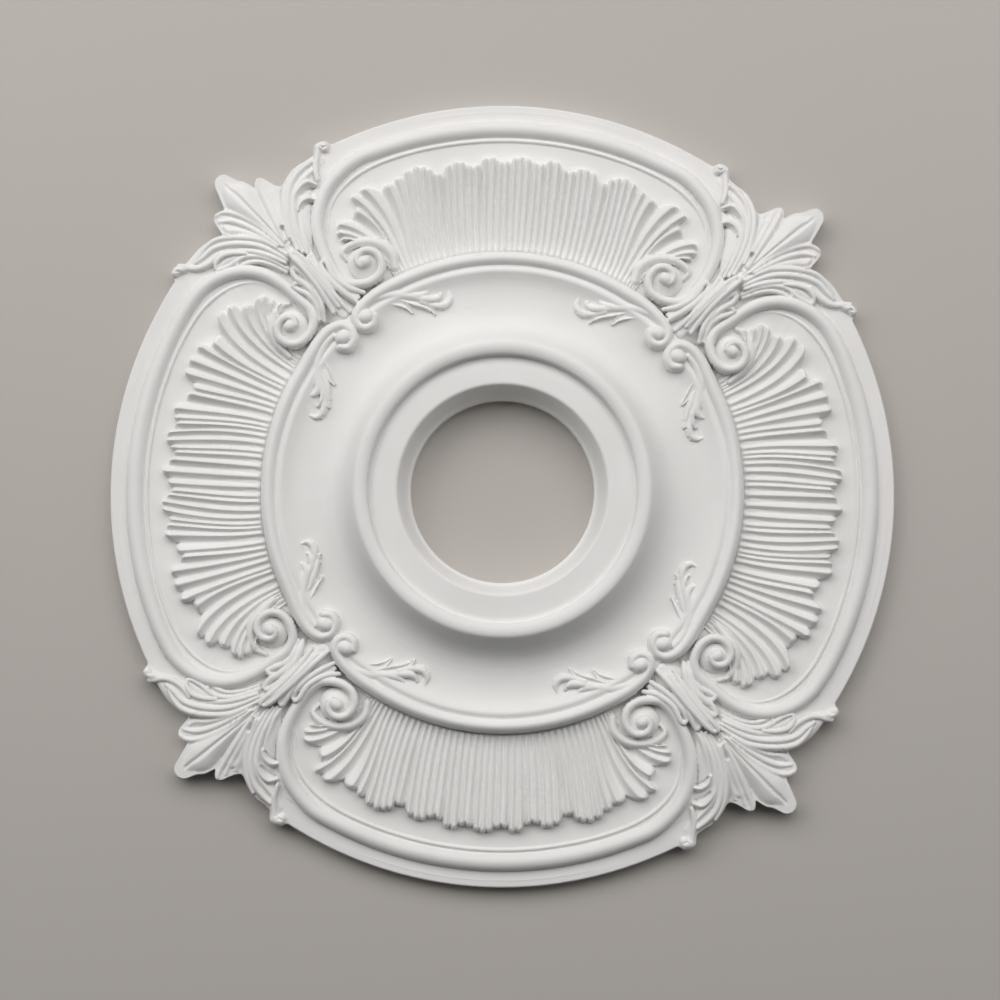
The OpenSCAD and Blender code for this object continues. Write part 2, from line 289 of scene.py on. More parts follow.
print("the outer band is", round(DRAWN_R - BAND_R, 1), "units wide")


def rims(R):
    """The outer band with its groove, the panel that rises to the fillet, and the ground under
    the leaves, which swells by exp(-((45 - angle) / spread) squared)."""
    r = np.hypot(R.x, R.y)
    off_axis = np.degrees(np.arctan2(np.minimum(R.x, R.y), np.maximum(R.x, R.y)))
    lobe = off_axis < LOBE_HALF
    band = np.interp(r, *BAND.T)
    panel = np.interp(r, *PANEL.T)
    swelling = np.exp(-((45 - off_axis) / MOUND_SPREAD)**2) * np.clip((r - MOUND_R) / MOUND_RAMP, 0, 1)
    R.h = np.where(lobe & (r > BAND_R), band, R.h)
    R.h = np.maximum(R.h, panel)
    R.h = np.where(r > MOUND_R, np.maximum(R.h, GROUND + MOUND_H * swelling), R.h)
    R.inside = np.maximum(R.inside, np.where(lobe, DRAWN_R, NECK_R) - r)


# %% Beads and volutes
FRAME_WIDTH = [4.8, 4.8, 4.8, 4.8, 4.7, 4.5, 4.2, 3.9, 3.6, 3.5, 3.3, 2.9, 2.5, 2.2, 2.0, 1.7]
FRAME_HEIGHT = [12.8] * 6 + [13, 13.3, 13.8, 14.4, 15, 15.6, 16.2, 16.8, 17.2, 17.4]
RING_WIDTH = [3.8] * 9 + [3.6, 3.3, 2.9, 2.6, 2.3]
RING_HEIGHT = [16.9] * 10 + [17, 17.2, 17.4, 17.4]
FILLET_WIDTH, FILLET_TOP, FILLET_FOOT = 1.3, GROUND + 2.0, GROUND + 0.2
BALL_WIDTH, BALL_TOP, BALL_FOOT = 3.9, 18.8, 14   # the balls of the ring bead's small volutes
SMALL_BALLS = [[(74, 84.8), (74.6, 84.6), (75.2, 84.2)], [(85, 73.6), (85.6, 73.4), (86.2, 73)]]


def boss(R, centre, radius, top, foot, section="round"):
    """A round boss: a stroke so short that it is nearly a disc."""
    cx, cy = centre
    R.stroke([(cx - 0.4, cy + 0.3), (cx, cy), (cx + 0.4, cy - 0.2)], [radius], [top], section, [foot])


def frames(R):
    """Fillets, frame beads with their volutes, and the ring bead with its small volutes. Each
    volute stands on a low mound and has a ball at its eye."""
    for fillet in (FILLET_Y, FILLET_X):
        R.stroke(fillet, [FILLET_WIDTH], [FILLET_TOP], "arch", [FILLET_FOOT])
    for centre in (VOLUTE_Y, VOLUTE_X):
        boss(R, centre, radius=8.6, top=15.0, foot=11, section="arch")
    for path in (FRAME_Y, FRAME_X):
        R.stroke(path, FRAME_WIDTH, FRAME_HEIGHT)
    for centre in (VOLUTE_Y, VOLUTE_X):
        boss(R, centre, radius=3.2, top=18.2, foot=14.6)
    for path in (RING_Y, RING_X):
        R.stroke(path, RING_WIDTH, RING_HEIGHT, "arch", soft=0.5)
    for path in SMALL_BALLS:
        R.stroke(path, [BALL_WIDTH], [BALL_TOP], foot=[BALL_FOOT])


print("the frame bead thins from", FRAME_WIDTH[0], "to", FRAME_WIDTH[-1], "units either side of its line")

# %% [markdown]
# ## Fluted shells
# A shell is a pleated fan. Every crest leaves the ring bead square and sweeps to its own tip on
# the scalloped edge, and the outer ones bend round the volute. Modelling fifty pleats one by one
# would never meet cleanly, so the fan is one surface of two parameters: u counts the crests
# and t goes from root to edge. For each point of the height field, u and t are solved.

# %% Crests: root angle off the shell's middle, tip across, tip out, and heading of the tip in degrees
ROOT_R = 122.0                                    # the crests start on this circle
CRESTS_Y = [
    (0, 0, 173.5, 90), (1.3, 3.5, 172.8, 90), (2.8, 7.5, 170.8, 90), (4.3, 10.5, 170.4, 90),
    (5.8, 14.5, 172.6, 88), (7.3, 19, 171.8, 86), (8.8, 23, 168, 84), (10.2, 26.5, 167.6, 86),
    (11.8, 30.5, 169.2, 88), (13.3, 34, 168.8, 86), (14.7, 38, 167, 84), (16.2, 43, 162.3, 82),
    (17.7, 47, 164.5, 84), (19.2, 50.5, 165.3, 84), (20.6, 54.5, 165.2, 80), (22, 59, 162.8, 70),
    (23.4, 64, 158.5, 60), (24.6, 68.3, 155, 52), (25.8, 81, 152, 30), (26.9, 86.5, 147, 24),
    (27.8, 84.5, 139.8, 14), (28.6, 93, 132, -2), (29.3, 93, 127.2, -10), (30, 90.5, 123.5, -20)]
CRESTS_X = [
    (0, 0, 174, 90), (2.4, 6, 170.5, 90), (4.6, 9.8, 168.8, 90), (5.9, 12, 170.5, 92),
    (7.9, 15.5, 173, 96), (9.6, 19.5, 172.6, 100), (11, 24.5, 168.8, 92), (12, 27.5, 169.8, 90),
    (13.3, 32.6, 170.3, 86), (15.5, 40.5, 163.5, 80), (16.9, 43.6, 161.5, 80), (18.3, 51, 166, 78),
    (19.8, 58, 164, 74), (21.5, 65.6, 160, 62), (22.6, 68.6, 152.4, 46), (24.2, 82.4, 150.6, 22),
    (26.4, 87.6, 144.6, 16), (27.5, 88.2, 136.6, 8), (28.2, 92.4, 131.2, 0), (28.8, 93.6, 127.4, -6),
    (29.8, 91.6, 123, -14), (31, 90, 117.6, -50)]
print("crests of a half shell:", len(CRESTS_Y), "towards +Y and", len(CRESTS_X), "towards +X")

# %% The fan as a surface of two parameters
LEAVE, ARRIVE = 1.05, 0.95                        # speed of a crest at root and tip, by its reach
NET_ACROSS, NET_ALONG = 3, 34                     # samples to a gap between crests, and along a crest
BATCH = 4096                                      # points compared with the net at a time
NEWTON_STEPS = 5
NUDGE = 0.02                                      # step of u and t that the slopes are taken over


class Fan:
    """Half a shell as a surface of u and t, in axes across the shell and out from the rose's middle.
    A crest is a cubic from its root, leaving the ring square, to its tip, arriving at its heading."""

    def __init__(self, crests):
        C = np.array(crests, float)
        root, heading, tip = np.radians(C[:, 0]), np.radians(C[:, 3]), C[:, 1:3]
        start = ROOT_R * np.stack([np.sin(root), np.cos(root)], 1)
        reach = np.linalg.norm(tip - start, axis=1)[:, None]
        leave = np.stack([np.sin(root), np.cos(root)], 1) * reach * LEAVE
        arrive = np.stack([np.cos(heading), np.sin(heading)], 1) * reach * ARRIVE
        K = np.stack([start, leave, tip, arrive], 1)
        self.count = len(C)
        self.K = np.concatenate([K[3:0:-1] * [-1, 1], K, 2 * K[-1:] - K[-2:-1]])

    def at(self, u, t):
        """The point at u, t: the crests either side of u are blended by cubic(), then read at t."""
        v = np.clip(u + 3, 1, len(self.K) - 2.0001)
        i = v.astype(int)
        K = self.K
        k = cubic(K[i - 1], K[i], K[i + 1], K[np.minimum(i + 2, len(K) - 1)], (v - i)[:, None, None])
        t = t[:, None]
        return ((2 * t**3 - 3 * t**2 + 1) * k[:, 0] + (t**3 - 2 * t**2 + t) * k[:, 1]
                + (3 * t**2 - 2 * t**3) * k[:, 2] + (t**3 - t**2) * k[:, 3])

    def solve(self, x, y):
        """u and t of each point, from the nearest of a net of samples and a few Newton steps; then
        how far the answer misses, the gap between crests and the length of t there."""
        net_u = np.linspace(0, self.count - 1, NET_ACROSS * (self.count - 1) + 1)
        U, T = np.meshgrid(net_u, np.linspace(0, 1.03, NET_ALONG), indexing="ij")
        U, T = U.ravel(), T.ravel()
        Q = self.at(U, T)
        best = np.empty(len(x), int)
        for k in range(0, len(x), BATCH):
            d2 = (x[k:k + BATCH, None] - Q[None, :, 0])**2 + (y[k:k + BATCH, None] - Q[None, :, 1])**2
            best[k:k + BATCH] = d2.argmin(1)
        u, t = U[best].copy(), T[best].copy()
        e = NUDGE
        for _ in range(NEWTON_STEPS):
            q = self.at(u, t)
            qu, qt = (self.at(u + e, t) - q) / e, (self.at(u, t + e) - q) / e
            rx, ry = x - q[:, 0], y - q[:, 1]
            det = qu[:, 0] * qt[:, 1] - qu[:, 1] * qt[:, 0]
            det = np.where(np.abs(det) < 1e-3, 1e-3, det)
            u = np.clip(u + np.clip((rx * qt[:, 1] - ry * qt[:, 0]) / det, -1, 1), -0.6, self.count - 0.5)
            t = np.clip(t + np.clip((qu[:, 0] * ry - qu[:, 1] * rx) / det, -0.3, 0.3), -0.1, 1.15)
        q = self.at(u, t)
        miss = np.hypot(x - q[:, 0], y - q[:, 1])
        gap = np.linalg.norm((self.at(u + e, t) - q) / e, axis=1)
        length = np.linalg.norm((self.at(u, t + e) - q) / e, axis=1)
        return u, t, miss, gap, length


print("the fan is solved on a net of", NET_ACROSS, "by", NET_ALONG, "samples to a pleat")

# %% Surface of the shells
LIP = 3.0                                         # the edge rolls off over this length
PLEAT_SHARE, PLEAT_MOST = 0.6, 3.5                # a pleat's depth for each unit of gap, and its most
ROOT_RISE, EDGE_RISE = 1.8, 5.2                   # height of a crest's root, and its lift to the tip
TOOTH = 0.45                                      # how far the edge is cut back between crests, in gaps
EDGE_SINK, ROOT_SINK = 1, 1.6                     # how far under the ground the edge and the root go
ROOT_GAP, ROOT_ROUND = 1.2, 2.4                   # the fan starts this far out, and rounds up over this
CLOSE = 0.6                                       # a point that misses the fan by less is on it
FAN_R, FAN_OUT, FAN_ACROSS = (120, 178), 100, (-5, 98)    # where a half shell's points can lie


def shells(R):
    """Both half shells of the quadrant. Height: a slope that lifts to the edge, less a wave between
    crests, rolled off within a lip of the edge, which is cut back between crests into round teeth,
    and rounded down into the groove beside the ring bead at the root."""
    r = np.hypot(R.x, R.y)
    for crests, across, out in ((CRESTS_Y, R.x, R.y), (CRESTS_X, R.y, R.x)):
        beside = (out > FAN_OUT) & (across > FAN_ACROSS[0]) & (across < FAN_ACROSS[1])
        m = np.flatnonzero(beside & (r > FAN_R[0]) & (r < FAN_R[1]))
        if not len(m):
            continue
        fan = Fan(crests)
        u, t, miss, gap, length = fan.solve(across[m], out[m])
        wave = 0.5 - 0.5 * np.cos(2 * np.pi * u)
        depth = np.minimum(PLEAT_SHARE * gap, PLEAT_MOST) * np.clip(0.35 + 6 * t, 0, 1)
        depth = depth * (0.85 + 0.3 * np.clip(t, 0, 1)**2)
        z = GROUND + ROOT_RISE + EDGE_RISE * np.clip(t, 0, 1)**1.8 - 0.9 * depth * wave
        off_crest = 2 * np.abs(u - np.round(u))
        edge = 1 - TOOTH * gap / length * (1 - np.sqrt(1 - 0.9 * off_crest**2))
        to_edge = np.clip((edge - t) * length / LIP, 0, 1)
        z = GROUND - EDGE_SINK + (z - GROUND + EDGE_SINK) * np.sqrt(1 - (1 - to_edge)**2)
        from_root = np.clip((t * length - ROOT_GAP) / ROOT_ROUND, 0, 1)
        z = GROUND - ROOT_SINK + (z - GROUND + ROOT_SINK) * np.sqrt(1 - (1 - from_root)**2)
        on_fan = (miss < CLOSE) & (t < edge) & (u < fan.count - 1)
        R.h[m] = np.where(on_fan, join(R.h[m], z, 0.3), R.h[m])


def petals(R):
    """The last pleat of each shell, which curls over the volute."""
    R.stroke([(62, 112), (63.5, 118.5), (69.5, 123.2), (77.5, 124.2), (85, 122), (89, 117.8),
              (86.6, 114)],
             [2.2, 2.8, 2.8, 2.5, 2.3, 2.0, 1.0], [12.5, 13.4, 13.8, 14, 13.8, 13.2, 12], "arch", soft=0.9)
    R.stroke([(113, 62.5), (119.4, 68.6), (123, 75.5), (122.4, 83), (119, 88), (115, 89.8)],
             [1.4, 2.2, 2.5, 2.5, 2.2, 1.2], [12.5, 13.4, 13.8, 14, 13.4, 12.4], "arch", soft=0.9)


print("a pleat is at most", PLEAT_MOST, "mm deep and its lip", LIP, "units long")

# %% [markdown]
# ## Leaves of the corners
# Each corner is a spray of acanthus: a husk of hollow blades rises from the small volutes, and
# behind it a fan of leaves spreads over the rose's edge. The sides differ, as in much carved
# work: towards +Y the spray has a leaf of three pointed tips with a drilled eye, and towards +X
# one of two round tips. A leaf is a broad stroke for its body and thin ones for its ribs.

# %% Bodies of the leaves
def leaves(R):
    """The fan behind the husk: two long leaves, the leaves of three and two tips, and the lance
    between them. edge is the height of a leaf's rim from root to tip."""
    edge = [10, 9.5, 9, 8, 7.4, 7.2]
    R.stroke([(106, 117), (110, 127), (113.4, 138), (114.6, 148), (112.6, 156), (108.6, 161),
              (104.6, 166)],
             [2, 4.6, 6, 7.6, 7.6, 6, 4], [14, 14.2, 13.8, 13, 12, 11, 10], "flat", edge)
    R.stroke([(117, 107.5), (127, 113), (138, 116), (148, 116), (156, 113), (162, 109.5), (168, 105)],
             [2, 4, 5.6, 7.0, 8.2, 6.2, 3.4], [14, 14.2, 13.8, 13, 12, 11, 10], "flat", edge)
    R.stroke([(117, 120), (123, 134), (128, 144)], [2, 4.4, 5.4], [15, 13.8, 12.2], "flat", edge)
    R.stroke([(118, 123), (121, 134), (123.6, 142), (125.2, 148.4)], [1.5, 2.5, 3, 2.8],
             [14, 13.6, 12.4, 10.8], "flat", edge)
    R.stroke([(118, 121), (123, 134), (126.6, 142), (129.4, 149.6)], [1.5, 3, 3.4, 3],
             [14.4, 13.8, 12.4, 10.8], "flat", edge)
    R.stroke([(119, 120), (125, 132), (130, 143), (133.8, 151.6)], [2, 3.2, 3.8, 3.3],
             [15, 14.2, 12.6, 10.6], "flat", edge)
    R.stroke([(120, 116.6), (131, 122.6), (141, 126), (149.4, 126.4)], [1.5, 2.2, 2.8, 3],
             [14.6, 13.8, 12.4, 11], "flat", edge)
    R.stroke([(119, 117.6), (130, 125), (141, 130.6), (149, 132), (152.6, 131.6)],
             [2, 3.4, 4.6, 4.6, 4.4], [15, 14.2, 12.8, 11.4, 10.6], "flat", edge)
    R.stroke([(116.5, 117), (126, 126.4), (136, 135.4), (144.9, 143.5), (149.3, 146.9), (152.7, 150.2)],
             [2, 3.6, 5.4, 7.5, 9.2, 5.2], [15.6, 15.9, 15.8, 15.2, 14, 11.2], "lance", edge)


# %% Ribs of the leaves
RIB_WIDTH, RIB_HEIGHT = [1.0, 1.5, 1.9, 2.0, 1.9, 1.7, 1.3], [15.8, 16.0, 15.7, 15.1, 14.2, 13.1, 11.9]
SHORT_WIDTH, SHORT_HEIGHT = [0.9, 1.6, 2.0, 1.8, 1.3], [16.4, 15.8, 14.5, 12.8, 11.4]
RIB_SOFT = 0.9                                    # creases between ribs are filled more than others
RIBS_Y = [[(104.6, 116), (108, 122), (110.6, 130), (112.2, 138), (112.4, 143)],
          [(107, 116), (110.6, 123), (113.8, 131), (115.6, 140), (115.6, 147), (113.4, 152.6), (110, 157),
           (106.4, 161)],
          [(109.4, 116.4), (113.4, 124), (116.6, 132), (118.4, 140), (118.4, 149), (116, 156), (112, 161),
           (108, 164.4)],
          [(112, 117.6), (116.6, 125.6), (119.6, 133), (121, 141), (121, 149), (119.2, 155),
           (116.8, 159.6)]]
RIBS_X = [[(116.5, 113.6), (124, 118), (131, 121), (139, 122), (149, 121.6), (155.6, 119.6), (160, 115.6),
           (163, 111)],
          [(117, 111.6), (125, 115.6), (132, 118), (140, 118.8), (149, 118), (155.6, 115.6), (160, 111.6),
           (164, 108.4)],
          [(117.6, 110), (126, 113.2), (134, 115), (142, 115.4), (149, 114.6)]]
SHORT_RIBS = [[(119, 121), (124.6, 131.6), (130.4, 142), (134.6, 150.6), (135.2, 153.4)],
              [(118, 122), (122.4, 132), (127.2, 142), (130.6, 149.4), (131.2, 151.4)],
              [(117, 123), (120.8, 132), (123.8, 142), (126.2, 149)],
              [(120, 118.6), (130, 126.6), (140, 132.4), (147.4, 135), (152.4, 135), (155.4, 133.4)],
              [(122, 118.6), (132.4, 125), (140.6, 129), (147.6, 130.8), (153.6, 130.2)],
              [(123, 117.6), (132.6, 122.6), (141.6, 125.4), (148.4, 126), (151, 127.6)]]


def ribs(R):
    """Ridges along the long leaves, then those of the leaves with two and three tips."""
    for path in RIBS_Y + RIBS_X:
        R.stroke(path, RIB_WIDTH, RIB_HEIGHT, "arch", soft=RIB_SOFT)
    for path in SHORT_RIBS:
        R.stroke(path, SHORT_WIDTH, SHORT_HEIGHT, "arch", soft=RIB_SOFT)


print("ribs:", len(RIBS_Y + RIBS_X), "long and", len(SHORT_RIBS), "short")

# %% Side lobes, tendrils and knobs of the leaves
def hollow_lobes(R):
    """Two lobes on the long leaf towards +Y, each a soft stroke with its middle pressed in."""
    R.stroke([(105.6, 144.4), (108.6, 144.6), (111.6, 142), (113, 138)], [1.3, 1.8, 1.9, 1.2],
             [13.6, 14.8, 15, 14.8], "soft")
    R.cut([(106.4, 142.8), (109.8, 141.6), (111.8, 139)], [1.0, 1.6, 1.1], [1.8])
    R.stroke([(105.4, 152.4), (109.4, 153.2), (112.6, 150.6), (115.2, 146), (115.6, 141)],
             [1.3, 1.9, 2, 1.9, 1.2], [13, 14.4, 14.8, 14.8, 14.6], "soft")
    R.cut([(106.4, 150.8), (110.2, 149.6), (113.2, 146.6)], [1.1, 1.9, 1.3], [2.0])


def side_lobes(R):
    """Two lobes on the long leaf towards +X, each a low body between two rims."""
    R.stroke([(117, 106.6), (125, 110.2), (132.6, 111.6), (138.6, 110.6), (141.6, 108)],
             [1.2, 1.8, 2, 2, 1.6], [13.4, 13.6, 13.4, 12.8, 12])
    R.stroke([(117, 107.6), (125, 111.2), (133, 112.9), (139, 112.2), (142.6, 109.8), (142.6, 107.2)],
             [0.9, 1.2, 1.3, 1.3, 1.2, 1], [14.4, 15, 15, 14.6, 14, 13.2])
    R.stroke([(117, 105.6), (125, 109), (132, 110.2), (138, 109), (141.6, 106.6)],
             [0.8, 1.1, 1.2, 1.2, 1], [14, 14.4, 14.4, 13.8, 13])
    R.stroke([(140, 112.6), (146, 111), (150.4, 108.4), (152.8, 106)], [1.6, 2.4, 2.4, 1.8],
             [13, 13, 12.6, 12])
    R.stroke([(138, 114), (145, 113.8), (150.4, 112.2), (153.6, 108.6), (153.6, 105.6)],
             [1, 1.3, 1.4, 1.3, 1.1], [14.4, 14.6, 14.4, 14, 13])
    R.stroke([(142, 111), (146, 107.8), (150, 105.6), (153, 104.8)], [1, 1.2, 1.2, 1],
             [13.6, 13.6, 13.4, 12.8])


def tendrils(R):
    """The thin stems that run along the lobes' ends, each to a knob with a curl cut in it."""
    R.stroke([(152, 113.4), (156, 109), (161, 106), (166, 105.2), (170, 106), (173, 106.4)],
             [1.2, 1.6, 1.7, 1.7, 1.6, 1.4], [13.4, 13.2, 12.8, 12.2, 11.6, 11.4])
    R.stroke([(104.6, 155), (106, 161), (105.8, 166), (105.6, 170), (106, 173)],
             [1.1, 1.5, 1.6, 1.6, 1.4], [13, 12.8, 12.2, 11.6, 11.4])
    R.stroke([(105, 169), (105, 172), (102.6, 173), (102, 172)], [2.6, 3.0, 3.2, 3.0],
             [10.6, 11.6, 12.2, 12.2], foot=[7])
    R.cut([(104, 172.6), (102.6, 171.8), (101.4, 172.6)], [0.5, 0.8, 0.5], [0.7])
    R.stroke([(167, 105.4), (170.4, 104.6), (173.6, 103.6), (174.6, 102.4)], [2.0, 2.6, 3.0, 2.6],
             [11.2, 11.6, 12.2, 12], foot=[7])
    R.cut([(171.4, 102.4), (173, 103.2), (174.6, 102.6)], [0.5, 0.8, 0.5], [0.7])


def eye(R):
    """The drilled eye between the lance and the leaf of three tips."""
    R.cut([(117.4, 121.6), (119.2, 125), (120.7, 128.3)], [0.6, 1.0, 1.4], [0.4, 1.6, 3.6])


# %% The husk
HUSK_RIM_WIDTH, HUSK_SOFT = [1.2, 1.6, 1.75, 1.7, 1.6, 1.5, 1.3], 0.6
HUSK_BODIES = [([(80, 95), (88, 98.5), (94, 104), (97.6, 110)], [1.6, 2.2, 2.4, 1.6],
                [14, 15, 15.2, 14.2]),
               ([(92, 95), (97, 100), (100.8, 105.8), (104.4, 112.6)], [1.5, 1.8, 2, 1.5],
                [15.6, 16, 15.8, 14.6]),
               ([(86, 86), (98, 98.6), (107, 107.6), (113.4, 113.8)], [3.4, 3.6, 3.2, 1.9],
                [15, 17, 17.6, 16.6]),
               ([(98, 90), (101, 95), (106, 101), (111.6, 105)], [1.5, 1.8, 2.4, 2],
                [15, 15.6, 15.6, 14.6]),
               ([(98, 84), (99.6, 89), (102.6, 93.8), (107.6, 97.6), (111.6, 98.4)],
                [1.4, 1.6, 1.8, 1.8, 1.3], [14, 14.6, 15, 14.8, 14.2])]
HUSK_RIMS = [([(77, 97.6), (83, 98.6), (88, 101), (92, 104), (94.6, 108), (96.2, 111), (98, 112.3),
               (99, 111.4)], [14.5, 16, 16.8, 17.2, 17.4, 17.2, 16.6]),
             ([(80, 92.4), (86, 96), (91, 99.6), (95.2, 103.6), (98, 107), (99.4, 110), (99, 111.6)],
              [15, 16.2, 17, 17.4, 17.6, 17.4, 16.6]),
             ([(90, 93.5), (96.4, 101), (100.2, 107), (102.2, 111), (104.2, 114.6)],
              [16, 17.4, 17.9, 17.9, 17]),
             ([(94, 94.6), (100.4, 103.2), (104, 108.6), (106, 112.8), (105, 114.8)],
              [16.4, 17.8, 18.2, 17.8, 17]),
             ([(83.6, 87), (89.6, 92.8), (95.2, 98.6), (100.2, 104), (105.2, 109), (109.2, 113),
               (113, 115.4)], [16, 17.6, 18.6, 19.2, 19.6, 19.6, 18.8]),
             ([(89, 89), (94.4, 95.4), (99.4, 101), (104.4, 106.2), (108.6, 110), (112.4, 113.6)],
              [17, 18.4, 19, 19.4, 19.5, 18.8]),
             ([(91.6, 86), (95.2, 91.6), (99.6, 98), (105.2, 104.2), (109.4, 108.4), (113.4, 112.2),
               (115, 114.4), (113.6, 115.4)], [16, 17.6, 18.6, 19.2, 19.6, 19.6, 18.6]),
             ([(97, 89), (100.8, 95), (104.2, 101), (108.6, 105.2), (113, 107.6)],
              [15.6, 17, 17.6, 17.8, 17]),
             ([(99, 88), (103, 95.4), (107.6, 99.8), (111.6, 102.4), (114, 106.2), (113, 107.4)],
              [15.6, 17, 17.4, 17.2, 16.6]),
             ([(96.4, 82), (98, 89.6), (101, 94.6), (104.4, 97.8), (108.4, 99.8), (111.6, 99.8),
               (113, 98.4)], [14.6, 16.4, 17, 17.2, 17.2, 16.8, 16.2]),
             ([(98.6, 82), (100.6, 89.6), (104.4, 93.8), (109.4, 96.2), (112.8, 97.8)],
              [14.6, 16.2, 16.8, 16.8, 16])]


def husk(R):
    """Five folded blades side by side on a mound: a hollow body each, and a rim along either side
    up to the tip."""
    R.stroke([(84, 84), (99, 98), (112, 111)], [8, 11, 5], [13.8, 15.0, 14.6], "soft", [9, 10, 9])
    R.stroke([(108, 108), (115, 115), (122, 122)], [8, 8, 5], [15.0, 15.2, 14.6], "soft", [9, 9, 9])
    for path, width, height in HUSK_BODIES:
        R.stroke(path, width, height, "flat")
    for path, height in HUSK_RIMS:
        R.stroke(path, HUSK_RIM_WIDTH, height, "round", soft=HUSK_SOFT)


print("the husk has", len(HUSK_BODIES), "bodies and", len(HUSK_RIMS), "rims")

# %% [markdown]
# ## Sprigs
# From each small volute a sprig trails over the field: a stem with curled lobes. They are thin
# relief on a smooth ground, so every lobe is one short round stroke.

# %% Sprigs of the quadrant
def sprigs(R):
    """The sprig along +Y's side of the field, then the one along +X's side."""
    lobe = ([1.7, 2.0, 1.8, 1.0], [14.6, 14.8, 14.2, 13.0])
    R.stroke([(76, 91), (70, 95), (62, 97), (53, 97), (45, 95.5)], [1.8, 2.8, 2.9, 2.3, 1.7],
             [16, 15.7, 15.3, 14.8, 14.2])
    R.stroke([(67, 94), (60, 93.6), (54.4, 91.6), (51.5, 88.8)], [2.2, 2.6, 2.0, 0.8],
             [14.5, 14.5, 14, 12.5], "spoon")
    R.stroke([(55, 95), (47, 93.5), (42, 91), (40, 89.2)], [1.8, 2.4, 1.8, 0.8], [14, 14, 13.5, 12.5],
             "spoon")
    R.stroke([(47, 94.5), (40, 93), (35, 93.6), (32.6, 97), (33.6, 101)], [1.4, 1.6, 2, 1.8, 1],
             [14, 13.5, 13.5, 13, 12])
    R.stroke([(46, 96), (41, 96), (38.4, 97.4), (37.6, 99)], *lobe)
    R.stroke([(54, 97), (48, 97.6), (45, 99.4), (44, 101.8)], *lobe)
    R.stroke([(58, 98.4), (52, 99.6), (49, 101), (48.2, 102.6)], *lobe)
    R.stroke([(91, 74), (95.6, 68), (98, 60), (97, 52), (94.6, 44)], [1.8, 2.6, 2.9, 2.3, 1.7],
             [16, 15.7, 15.3, 14.8, 14.2])
    R.stroke([(97, 63), (94, 57), (91.4, 52.4), (89, 49.5)], [2, 2.4, 1.8, 0.8], [14.5, 14.5, 14, 12.5],
             "spoon")
    R.stroke([(95, 55), (92.6, 47), (91.6, 41.4), (90.8, 37.6)], [1.4, 2.0, 1.5, 0.8],
             [14, 14, 13.5, 12.5])
    R.stroke([(94.6, 46), (93.4, 39), (94.4, 34), (97.4, 32), (100.4, 32.8)], [1.4, 1.6, 2, 1.6, 0.9],
             [14, 13.5, 13.5, 13, 12])
    R.stroke([(94.6, 44), (95.2, 40), (96.6, 37.8)], [1, 1.3, 0.8], [14, 14, 13])
    R.stroke([(97.4, 53), (96.8, 47), (98.8, 43.6), (102.2, 43.4)], *lobe)
    R.stroke([(98.6, 55), (98.4, 50.6), (99.8, 48), (101.2, 47)], *lobe)


# %% Carve everything
STEPS = (rims, shells, petals, frames, leaves, ribs, hollow_lobes, side_lobes, tendrils, eye, husk, sprigs)


def carve(x, y):
    """The whole relief over points of the first quadrant, in the order a carver would lay it on."""
    R = Relief(np.ravel(x), np.ravel(y))
    R.h = turned(np.hypot(R.x, R.y))
    for step in STEPS:
        step(R)
    return R.h.reshape(np.shape(x)), R.inside.reshape(np.shape(x))


print("steps of the carving:", ", ".join(step.__name__ for step in STEPS))

# %% [markdown]
# ## The skin of a quarter
# The rose repeats: the other three quarters are mirrored from the first. A square grid would
# leave a ragged edge, so this grid is made of rays and rings. The rings are even as far as the
# panels and then stretch to reach the leafy outline exactly, ray by ray.

# %% The outline and the grid
RAYS = 561
STEP = 0.5                 # between two rings, in drawing units
SEARCH_FROM, SEARCH_TO, SEARCH_STEP = 190, 227, 0.15    # radii where the outline is looked for
SMOOTHING = (0.1, 0.2, 0.4, 0.2, 0.1)             # weights of the rays next to one, for a smooth outline
INNER_R, INNER_RINGS = 100, 40                    # plain rings from the hole to here, and their number
PANEL_R = 184                                     # even rings from there to here
LEAF_SPAN = 20                                    # rough distance from there to the outline


def outline(rays):
    """Radius of the cast edge on each ray: the outermost point of a fine search that is inside a
    stroke or a lobe."""
    r = np.arange(SEARCH_FROM, SEARCH_TO, SEARCH_STEP)
    A, Rr = np.meshgrid(rays, r, indexing="ij")
    inside = carve(Rr * np.cos(A), Rr * np.sin(A))[1] > 0
    last = len(r) - 1 - np.argmax(inside[:, ::-1], axis=1)
    edge = r[last]
    near_edge = np.pad(edge, len(SMOOTHING) // 2, mode="reflect")
    return sum(w * near_edge[k:k + len(edge)] for k, w in enumerate(SMOOTHING))


rays = np.radians(np.linspace(0, 90, RAYS))
edge_r = outline(rays)
turned_r = TEMPLATE[TEMPLATE[:, 0] < INNER_R, 0]
inner, even = np.linspace(HOLE_R, INNER_R, INNER_RINGS), np.arange(INNER_R, PANEL_R, STEP)
fixed = np.unique(np.round(np.r_[inner, turned_r, even], 3))
share = np.linspace(0, 1, int(LEAF_SPAN / STEP) + 1)[1:]
ring_r = np.concatenate([np.repeat(fixed[None], RAYS, 0),
                         fixed[-1] + (edge_r[:, None] - fixed[-1]) * share], 1)
A = rays[:, None]
X, Y = ring_r * np.cos(A), ring_r * np.sin(A)
Z = carve(X, Y)[0]
print("quarter grid", X.shape, "highest", round(Z.max(), 2))

# %% [markdown]
# ## Closing, thinning and mirroring
# The grid's last ring is rounded over and dropped to the back, and the back and the throat of
# the hole close it. A million even triangles would be wasted on the smooth field, so Decimate
# keeps them where the carving is. Then the quarter is mirrored twice and its seams are welded.

